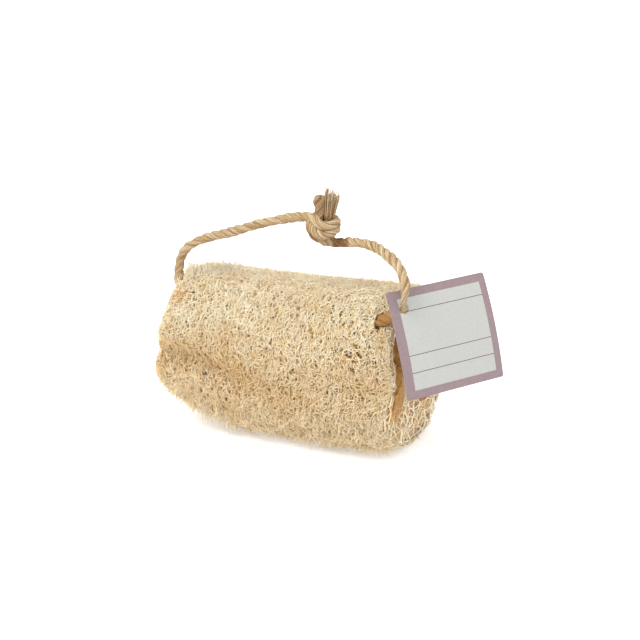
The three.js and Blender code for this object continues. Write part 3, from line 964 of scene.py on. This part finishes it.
def add_fibres(name, centres, normals, radii, material, paler=0.0, lowest=-1.0):
    """One piece of the sponge, of the fibres that keep off the cord, the tag and the floor."""
    keep = clear_of_cord(centres, CORD_DIAMETER / 2 + CORD_GAP) & (centres[..., 2].min(1) > lowest)
    # Tan share, partly painted shade, less the paler share
    tan = np.clip(tan_and_shade_share(centres) - paler, 0, 1)
    piece = fibre_tubes(name, centres[keep], normals[keep], radii[keep], material, values={"tan": tan[keep]})
    loofah_pieces.append(piece)


def add_layer(layer, material):
    rng = np.random.default_rng(layer["seed"])
    centres, normals = lay_fibres(rng, layer)
    radii = tapered(rng, layer)
    keep = clear_of_pits(centres)
    add_fibres("loofah_fibres_" + layer["name"], centres[keep], normals[keep], radii[keep], material)


def add_stray_hairs():
    """Fine pale fibres that stand off the skin, thickest along the top."""
    rng = np.random.default_rng(31)
    count = HAIR_COUNT
    all_over = rng.random(count) < HAIRS_ALL_OVER
    turns = rng.uniform(0, 1, count)
    turn = np.where(all_over, turns, rng.normal(0.23, 0.05, count))
    place, normal, along, around = skin(rng.uniform(0, 1, count), turn)
    sideways = rng.normal(0, 0.9, count)[:, None] * along + rng.normal(0, 0.9, count)[:, None] * around
    headings = unit(0.8 * normal + sideways)
    centres, normals, radii = free_hairs(rng, place - 0.5 * normal, headings, HAIRS)
    add_fibres("loofah_hairs", centres, normals, radii, surface_fibre, HAIR_PALER, LOWEST_HAIR)


def add_top_wisps():
    """Long fine wisps that stand up along the top, thickest near the left end."""
    rng = np.random.default_rng(71)
    count = WISPS_ALL_OVER + WISPS_AT_LEFT
    share = np.concatenate([rng.uniform(0.02, 0.98, WISPS_ALL_OVER), rng.normal(0.15, 0.08, WISPS_AT_LEFT)])
    place, normal, along, _ = skin(np.clip(share, 0, 1), rng.normal(0.25, 0.04, count))
    leaning = rng.normal(0, 0.7, count)[:, None] * along
    headings = unit(UP + leaning + rng.normal(0, 0.25, (count, 3)))
    centres, normals, radii = free_hairs(rng, place - 0.6 * normal, headings, WISPS)
    add_fibres("loofah_wisps", centres, normals, radii, wisp_fibre)


def add_ragged_edge():
    """Tufts that stick out low on the front, over the pressed underside."""
    rng = np.random.default_rng(81)
    count = RAGGED_TUFTS * RAGGED_IN_TUFT
    middle = rng.uniform(0.02, 0.98, RAGGED_TUFTS)
    share = np.repeat(middle, RAGGED_IN_TUFT) + rng.normal(0, 0.008, count)
    low = rng.uniform(0.83, 0.94, RAGGED_TUFTS)
    turn = np.repeat(low, RAGGED_IN_TUFT) + rng.normal(0, 0.006, count)
    place, normal, along, around = skin(np.clip(share, 0, 1), turn)
    sideways = rng.normal(0, 0.45, count)[:, None] * along - rng.uniform(0, 0.8, count)[:, None] * around
    centres, normals, radii = free_hairs(rng, place - 0.4 * normal, unit(normal + sideways), RAGGED)
    add_fibres("loofah_ragged_edge", centres, normals, radii, surface_fibre, lowest=LOWEST_HAIR)


def add_mouth_tuft():
    """White tuft that stands up beside the cord where it goes in at the left end."""
    rng = np.random.default_rng(61)
    count = TUFT_FIBRES
    share = np.abs(rng.normal(0.025, 0.03, count))
    place, normal, _, _ = skin(share, rng.normal(MOUTH_TURN, 0.022, count))
    headings = unit(UP + rng.normal(0, 0.45, (count, 3)))
    centres, normals, radii = free_hairs(rng, place - 0.4 * normal, headings, TUFT)
    add_fibres("loofah_mouth_tuft", centres, normals, radii, surface_fibre, TUFT_PALER)


class CutEnd:
    """One cut end: its rim, and places on its face."""

    def __init__(self, right):
        self.right = right
        rim = sponge_form(np.full(720, float(right)), np.linspace(0, 2 * np.pi, 720, endpoint=False))
        self.middle = np.array([rim[:, 1].mean(), (rim[:, 2].max() + rim[:, 2].min()) / 2])
        offset = rim[:, 1:] - self.middle
        polar = np.arctan2(offset[:, 1], offset[:, 0])
        order = np.argsort(polar)
        self.polar = polar[order]
        self.reach = np.hypot(offset[:, 0], offset[:, 1])[order]

    def rim_share(self, spots):
        offset = spots - self.middle
        polar = np.arctan2(offset[..., 1], offset[..., 0])
        rim = np.interp(polar, self.polar, self.reach, period=2 * np.pi)
        return np.hypot(offset[..., 0], offset[..., 1]) / rim

    def places(self, spots):
        y, z = spots[..., 0], spots[..., 1]
        x = end_places(y, z)[self.right]
        return np.stack([x, y, z], -1)

    def outward(self):
        return np.array([1.0 if self.right else -1.0, 0, 0])

    def usable(self, spots):
        torn = in_cavity(spots) < TORN_REACH if self.right else False
        walled = in_chamber(self.places(spots)) > WEB_CHAMBER_REACH
        return (self.rim_share(spots) < WEB_RIM_SHARE) & walled & ~np.asarray(torn)


def web_strands(end, rng, spacing):
    """Open web on a cut face: strands between scattered points and their neighbours."""
    spots = []
    for spot in rng.uniform(*WEB_AREA, (WEB_TRIES, 2)):
        if end.usable(spot) and all(math.dist(spot, other) > spacing for other in spots):
            spots.append(spot)
    _, edges, _, _, _, _ = delaunay_2d_cdt([Vector(spot) for spot in spots], [], [], 0, 1e-5)
    spots = np.array(spots)
    longest = WEB_LONGEST * spacing
    pairs = np.array([edge for edge in edges if math.dist(spots[edge[0]], spots[edge[1]]) < longest])
    pairs = pairs[rng.random(len(pairs)) < WEB_KEPT]
    places = end.places(spots) + end.outward() * rng.uniform(*WEB_LEVELS, len(spots))[:, None]
    station = np.linspace(0, 1, len(WEB_PROFILE))[None, :, None]
    lines = mix(places[pairs[:, :1]], places[pairs[:, 1:]], station)
    lines = lines + rng.normal(0, WEB_SAG, (len(pairs), 1, 3)) * np.sin(np.pi * station)
    return lines[end.usable(lines[:, 2, 1:])]


def add_cut_end(name, right):
    """Web on a cut face, and the frayed fringe round its rim."""
    rng = np.random.default_rng(41 + right)
    end = CutEnd(right)
    for kind, spacing, thin, thick in WEBS:
        web = web_strands(end, rng, spacing)
        radii = rng.uniform(thin, thick, len(web))[:, None] * np.array(WEB_PROFILE)
        facing = np.broadcast_to(end.outward() + (0, 0, 0.01), web.shape)
        add_fibres(name + kind, web, facing, radii, surface_fibre, CUT_END_PALER)
    count = RIM_FIBRES
    share = np.abs(float(right) - np.abs(rng.normal(0, 0.012, count)))
    place, normal, along, around = skin(share, rng.uniform(0, 1, count))
    away = along * (1 if right else -1)
    sideways = rng.normal(0, 0.55, count)[:, None] * around + rng.uniform(-0.6, 0.45, count)[:, None] * normal
    starts = place - normal * rng.uniform(0, 2.2, count)[:, None]
    fringe, normals, radii = free_hairs(rng, starts, unit(away + sideways), FRINGE)
    add_fibres(name + "_fringe", fringe, normals, radii, surface_fibre, CUT_END_PALER, LOWEST_FRINGE)


def make_bed():
    """The web behind the surface strands, sunk a little under the solid's net."""
    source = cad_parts["loofah"].data
    points = np.zeros(len(source.vertices) * 3)
    normals = np.zeros(len(source.vertices) * 3)
    source.vertices.foreach_get("co", points)
    source.vertices.foreach_get("normal", normals)
    points = points.reshape(-1, 3) / MM
    normals = normals.reshape(-1, 3)
    left, right = end_places(points[:, 1], points[:, 2])
    near_end = (points[:, 0] < left + END_ZONE) | (points[:, 0] > right - END_ZONE)
    from_middle = unit(points * (0, 1, 1) - (0, 0, TOP_LEFT / 2))
    off_end = np.sign(points) * (1, 0, 0) + END_SPREAD * from_middle
    outward = np.where(near_end[:, None], off_end, normals)
    inside = in_chamber(points) < CHAMBER_WALL_REACH
    sink = np.where(inside | (points[:, 2] < UNDERSIDE), 0.0, BED_SINK)
    moved = points - outward * sink[:, None]
    moved[:, 2] = np.maximum(moved[:, 2], 0)
    faces = [list(polygon.vertices) for polygon in source.polygons]
    bed = mesh_object("loofah_bed", moved, faces, bed_material(), smooth=False)
    add_values(bed, "inside", inside.astype(float))
    rims = [CutEnd(right_end).rim_share(points[:, 1:]) for right_end in (False, True)]
    cut_face = near_end & (np.where(points[:, 0] > 0, rims[1], rims[0]) < CUT_FACE_SHARE)
    # Tan share with its painted shade, raised to the cut faces' own tan
    add_values(bed, "tan", np.maximum(tan_and_shade_share(points), CUT_FACE_TAN * cut_face))
    return bed


surface_fibre = fibre_material("loofah_fibre", SURFACE_TONES, SURFACE_TAN_AND_SHADE)
wisp_fibre = fibre_material("loofah_wisp", WISP_TONES, WISP_TAN_AND_SHADE)
# Deep strands in painted shade
deep_shade_fibre = fibre_material("loofah_deep_shade_fibre", DEEP_SHADE_TONES, DEEP_TAN_AND_SHADE)
loofah_pieces = [make_bed()]
for layer in LAYERS:
    add_layer(layer, deep_shade_fibre if layer["name"] == "deep" else surface_fibre)
add_pit_shade()
add_mouth_tuft()
add_stray_hairs()
add_top_wisps()
add_ragged_edge()
add_cut_end("loofah_left_end", False)
add_cut_end("loofah_right_end", True)


# Light and floor

def make_stage():
    """Pale floor that turns up into a wall far off, one soft light from the left, and a white world."""
    look = Look("floor")
    look.shader.inputs["Emission Color"].default_value = (1, 1, 1, 1)
    look.shader.inputs["Emission Strength"].default_value = FLOOR_GLOW
    material = look.surface((0.9, 0.9, 0.9, 1), 0.95, 0.0)
    rings = [(radius, 0) for radius in FLOOR_RADII]
    for angle in np.linspace(COVE_START, math.pi / 2, COVE_STEPS):
        rings.append((FLOOR_RADII[-1] + COVE_RADIUS * math.sin(angle),
                      COVE_RADIUS - COVE_RADIUS * math.cos(angle)))
    rings.append((FLOOR_RADII[-1] + COVE_RADIUS, WALL_TOP))
    vertices = [(0, 0, 0)]
    for radius, height in rings:
        for i in range(FLOOR_SIDES):
            angle = 2 * math.pi * i / FLOOR_SIDES
            vertices.append((radius * math.cos(angle), radius * math.sin(angle), height))
    faces = [(0, 1 + i, 1 + (i + 1) % FLOOR_SIDES) for i in range(FLOOR_SIDES)]
    faces += band_faces(1, FLOOR_SIDES, len(rings) - 1)
    floor = mesh_object("floor", vertices, faces, material)
    world = bpy.data.worlds.new("studio")
    world.use_nodes = True
    background = world.node_tree.nodes["Background"]
    background.inputs["Color"].default_value = (1, 1, 1, 1)
    background.inputs["Strength"].default_value = WORLD_STRENGTH
    bpy.context.scene.world = world
    data = bpy.data.lights.new("key", "AREA")
    data.size = KEY_SIZE
    data.energy = KEY_ENERGY
    light = bpy.data.objects.new("key", data)
    light.location = KEY_PLACE
    light.rotation_euler = (light.location - Vector(KEY_TARGET)).to_track_quat("Z", "Y").to_euler()
    bpy.context.scene.collection.objects.link(light)
    bpy.context.scene.view_settings.view_transform = "Standard"


make_stage()


# Frame


for piece in loofah_pieces:
    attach(piece, "root")
    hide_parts("loofah")
for piece in (cord_left, cord_inside, cord_right, cord_left_fuzz, cord_right_fuzz):
    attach(piece, "root")
    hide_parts("cord")
for piece in (knot_left, knot_right, knot_brush, knot_fuzz):
    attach(piece, "root")
    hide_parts("cord_knot")
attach(tag, "root")
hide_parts("hang_tag")
